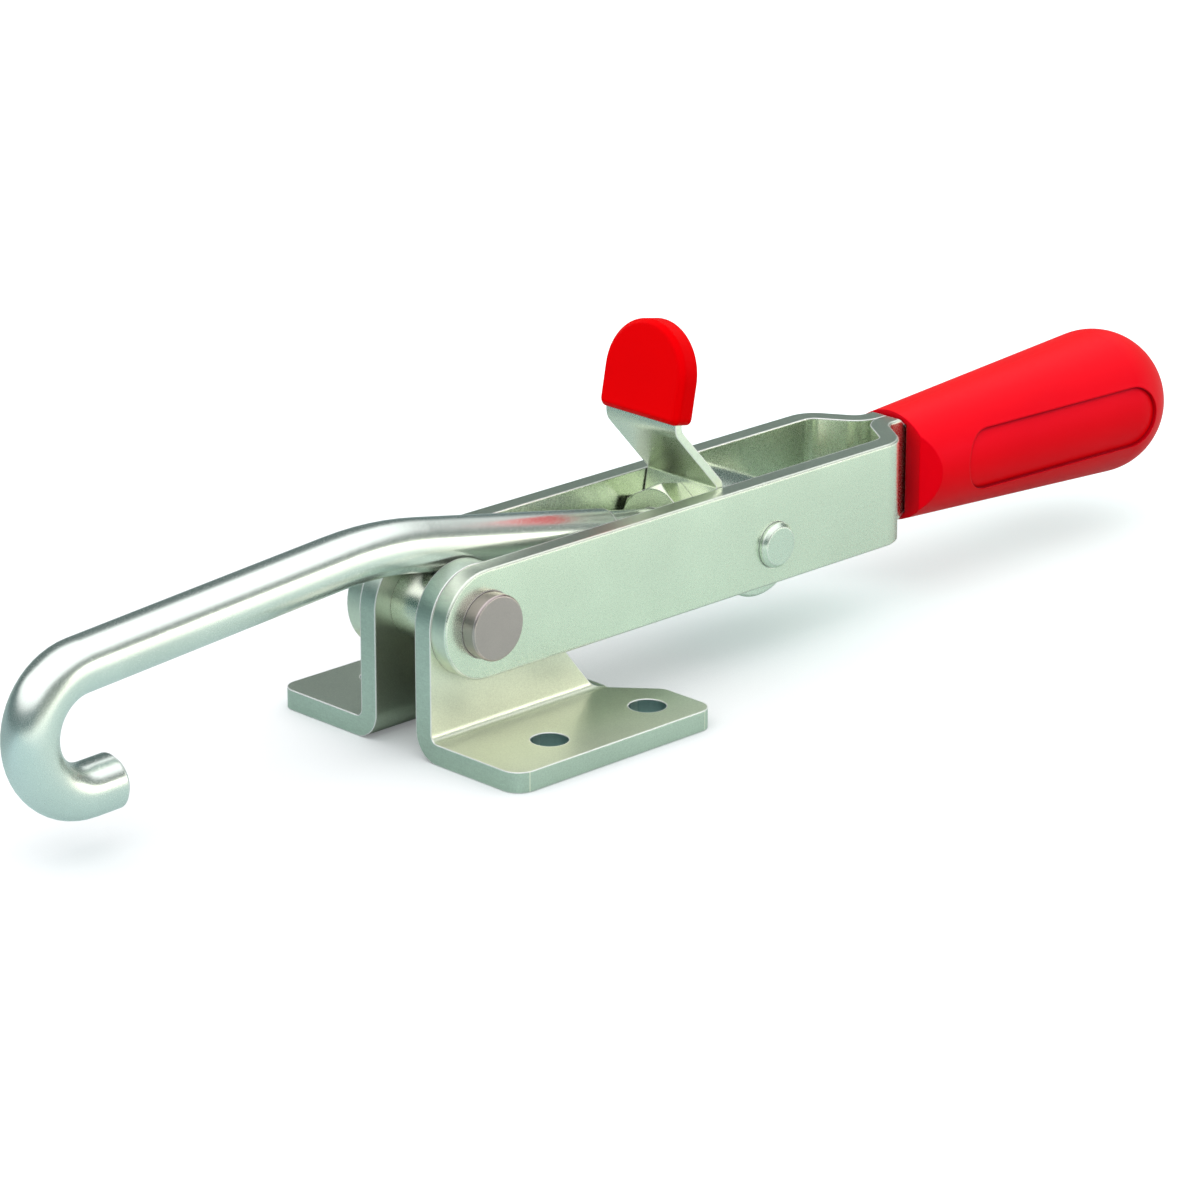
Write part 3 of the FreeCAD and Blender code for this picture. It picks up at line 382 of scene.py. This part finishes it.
def makeFloor(look):
    side = look["halfSide"]
    mesh = bpy.data.meshes.new("studioFloor")
    corners = [(-side, -side, 0), (side, -side, 0), (side, side, 0), (-side, side, 0)]
    mesh.from_pydata(corners, [], [(0, 1, 2, 3)])
    plate = bpy.data.objects.new("studioFloor", mesh)
    plate.location.z = -look["drop"]
    bpy.context.scene.collection.objects.link(plate)
    finish = bpy.data.materials.new("studioFloor")
    finish.use_nodes = True
    finish.cycles.emission_sampling = "NONE"
    tree = finish.node_tree
    tree.nodes.clear()
    out = addNode(tree, "ShaderNodeOutputMaterial")
    matt = addNode(tree, "ShaderNodeBsdfDiffuse")
    path = addNode(tree, "ShaderNodeLightPath")
    place = addNode(tree, "ShaderNodeTexCoord")
    split = addNode(tree, "ShaderNodeSeparateXYZ")
    join(tree, place, "Object", split, "Vector")

    glossy = path.outputs["Is Glossy Ray"]
    # Painted shadow: the floor's colour darkens by ambient occlusion close to the object
    contact = addNode(
        tree, "ShaderNodeAmbientOcclusion", samples=look["contactSamples"], Distance=look["contactReach"],
    )
    paintedContactShadow = ramp(tree, zip(look["contactStops"], (look["contactShade"], 1.0)))
    join(tree, contact, "AO", paintedContactShadow, "Fac")
    seenFloor = blendColours(tree, 1.0, look["colour"], paintedContactShadow.outputs["Color"], "MULTIPLY")
    matte = blendColours(tree, path.outputs["Is Diffuse Ray"], seenFloor, look["bounce"])
    mirrored = along(tree, split, "Y", look["metalSees"])
    mirrored = blendColours(tree, 1.0, mirrored, along(tree, split, "X", look["metalTint"]), "MULTIPLY")
    seenColour = blendColours(tree, glossy, matte, mirrored)
    tree.links.new(seenColour, matt.inputs["Color"])
    glow = addNode(tree, "ShaderNodeEmission", Strength=1.0)
    lifted = along(tree, split, "X", look["cameraGlow"])
    cameraPart = blendColours(tree, path.outputs["Is Camera Ray"], (0.0, 0.0, 0.0), lifted)
    seenGlow = blendColours(tree, glossy, cameraPart, along(tree, split, "Y", look["metalGlow"]))
    tree.links.new(seenGlow, glow.inputs["Color"])
    both = addNode(tree, "ShaderNodeAddShader")
    join(tree, matt, "BSDF", both, 0)
    join(tree, glow, "Emission", both, 1)
    join(tree, both, "Shader", out, "Surface")
    mesh.materials.append(finish)


makeFloor(floor)

# Studio surroundings. Each list runs from the horizon up: (elevation in degrees, colour)
studio = {
    "all": [
        (0.0, (0.15, 0.22, 0.22)), (5.0, (0.03, 0.075, 0.075)), (21.0, (0.03, 0.075, 0.075)),
        (31.0, (0.98, 1.0, 1.0)), (90.0, (0.98, 1.0, 1.0)),
    ],
    "behind": [
        (0.0, (0.08, 0.13, 0.13)), (8.0, (0.035, 0.065, 0.062)), (42.0, (0.04, 0.07, 0.068)),
        (56.0, (0.98, 1.0, 1.0)), (90.0, (0.98, 1.0, 1.0)),
    ],
    "near": [
        (0.0, (0.48, 0.51, 0.45)), (8.0, (0.18, 0.21, 0.18)), (34.0, (0.10, 0.13, 0.12)),
        (42.0, (0.98, 1.0, 1.0)), (90.0, (0.98, 1.0, 1.0)),
    ],
    "glow": [
        (0.0, (1.05, 1.02, 0.88)), (8.0, (1.05, 1.02, 0.88)), (10.0, (2.8, 2.8, 2.5)),
        (15.5, (2.8, 2.8, 2.5)), (17.5, (0.03, 0.05, 0.04)), (36.0, (0.03, 0.05, 0.04)),
        (44.0, (0.98, 1.0, 1.0)), (90.0, (0.98, 1.0, 1.0)),
    ],
    "side": (0.669, -0.743, 0.0), "back": (0.310, 0.852, 0.423), "even": (1.07, 1.08, 1.09), "strength": 1.5,
    "behindSpan": (0.80, 0.89), "nearSpan": (0.05, 0.55), "glowSpan": (0.86, 0.95),
}


def skyBand(tree, split, stops):
    node = ramp(tree, [(math.sin(math.radians(angle)), colour) for angle, colour in stops])
    join(tree, split, "Z", node, "Fac")
    return node.outputs["Color"]


def facing(tree, place, way):
    node = addNode(tree, "ShaderNodeVectorMath", operation="DOT_PRODUCT")
    node.inputs[1].default_value = way
    join(tree, place, "Generated", node, 0)
    return node


def makeStudio(look):
    world = bpy.data.worlds.new("studio")
    bpy.context.scene.world = world
    world.use_nodes = True
    tree = world.node_tree
    tree.nodes.clear()
    out = addNode(tree, "ShaderNodeOutputWorld")
    sky = addNode(tree, "ShaderNodeBackground")
    place = addNode(tree, "ShaderNodeTexCoord")
    split = addNode(tree, "ShaderNodeSeparateXYZ")
    join(tree, place, "Generated", split, "Vector")
    side = facing(tree, place, look["side"])
    back = facing(tree, place, look["back"])
    behind = level(tree, back, "Value", *look["behindSpan"], True).outputs["Result"]
    nearness = level(tree, side, "Value", *look["nearSpan"], True).outputs["Result"]
    middle = level(tree, side, "Value", *look["glowSpan"], True).outputs["Result"]
    bands = skyBand(tree, split, look["all"])
    bands = blendColours(tree, behind, bands, skyBand(tree, split, look["behind"]))
    bands = blendColours(tree, nearness, bands, skyBand(tree, split, look["near"]))
    bands = blendColours(tree, middle, bands, skyBand(tree, split, look["glow"]))

    # The camera sees plain white beyond the floor, metal sees the bands and matt surfaces get even light
    path = addNode(tree, "ShaderNodeLightPath")
    lift = addNode(tree, "ShaderNodeVectorMath", operation="SCALE")
    tree.links.new(bands, lift.inputs[0])
    lift.inputs["Scale"].default_value = look["strength"]
    lit = blendColours(tree, path.outputs["Is Glossy Ray"], look["even"], lift.outputs[0])
    seen = blendColours(tree, path.outputs["Is Camera Ray"], lit, (1.0, 1.0, 1.0))
    tree.links.new(seen, sky.inputs["Color"])
    join(tree, sky, "Background", out, "Surface")


makeStudio(studio)

# A soft box overhead on the hook's side and a low fill. Metal mirrors the bands above, not the lamps.
softBox = {
    "name": "softBox", "place": (-0.48, -0.22, 0.80), "aim": (0.03, 0.0, 0.0), "side": 0.7, "watts": 1.6,
    "colour": (1.0, 0.99, 0.97), "mirrored": False,
}
fill = {
    "name": "frontFill", "place": (-0.75, -0.55, 0.22), "aim": (0.03, 0.0, 0.03), "side": 0.6, "watts": 0.5,
    "colour": (1.0, 1.0, 1.0), "mirrored": False,
}


def makeLamp(look):
    lamp = bpy.data.lights.new(look["name"], "AREA")
    lamp.shape = "SQUARE"
    lamp.size = look["side"]
    lamp.energy = look["watts"]
    lamp.color = look["colour"]
    box = bpy.data.objects.new(look["name"], lamp)
    box.visible_glossy = look["mirrored"]
    box.location = look["place"]
    way = Vector(look["aim"]) - Vector(look["place"])
    box.rotation_euler = way.to_track_quat("-Z", "Y").to_euler()
    bpy.context.scene.collection.objects.link(box)


makeLamp(softBox)
makeLamp(fill)
print("floor, studio and lamps made")

# Camera at the photograph's viewing angle, solved from the straight edges of the base
camera = {
    "place": (-0.474251, -0.501957, 0.259782), "azimuth": -44.439, "elevation": 19.353, "roll": 0.076,
    "lens": 150.908, "sensor": 36.0,
}


def makeCamera(look):
    data = bpy.data.cameras.new("photoCamera")
    data.lens = look["lens"]
    data.sensor_width = look["sensor"]
    data.clip_start = 0.01
    data.clip_end = 50.0
    eye = bpy.data.objects.new("photoCamera", data)
    turn = Matrix.Rotation(math.radians(look["azimuth"]), 4, "Z")
    tilt = Matrix.Rotation(math.radians(90.0 - look["elevation"]), 4, "X")
    roll = Matrix.Rotation(math.radians(look["roll"]), 4, "Z")
    eye.matrix_world = Matrix.Translation(look["place"]) @ turn @ tilt @ roll
    bpy.context.scene.collection.objects.link(eye)
    bpy.context.scene.camera = eye


makeCamera(camera)
bpy.context.scene.view_settings.view_transform = "Standard"
print("camera set")
